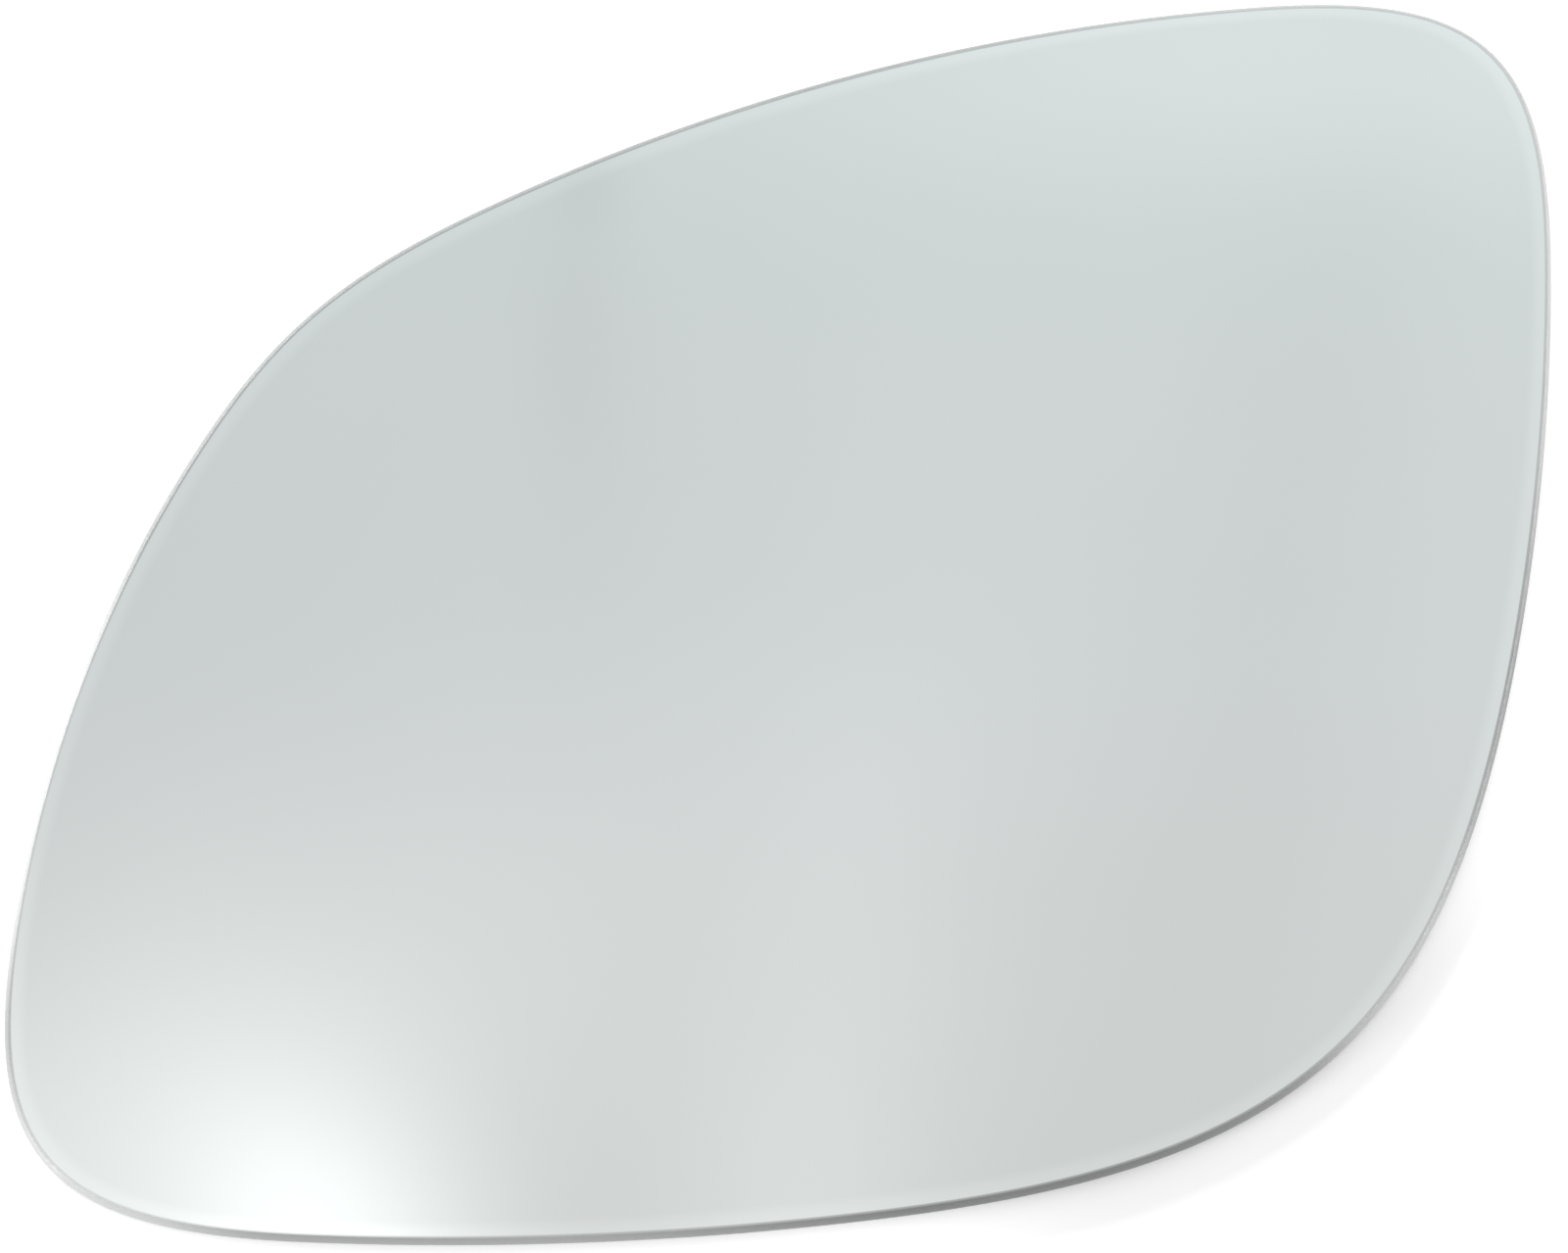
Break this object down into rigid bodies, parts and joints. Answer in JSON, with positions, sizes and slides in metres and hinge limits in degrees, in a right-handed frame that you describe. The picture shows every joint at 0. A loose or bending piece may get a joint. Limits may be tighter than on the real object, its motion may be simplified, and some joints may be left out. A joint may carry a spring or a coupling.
{
  "type": "car door mirror glass",
  "caption": "Convex replacement glass for a car door mirror: a bent, silvered sheet of four-sided rounded outline with a ground edge all round.",
  "frame": {"origin": "under the middle of the outline's bounding rectangle, on the surface that the glass lies on", "axes": "+Z up, out of the reflecting side; +X to the right and +Y up as seen from the reflecting side, with the pointed corner at -X -Y"},
  "size_m": [0.176, 0.1484, 0.0068],
  "materials": {
    "silvered_glass": "polished"
  },
  "bodies": {
    "root": {"mirror_glass": "silvered_glass"}
  },
  "joints": []
}
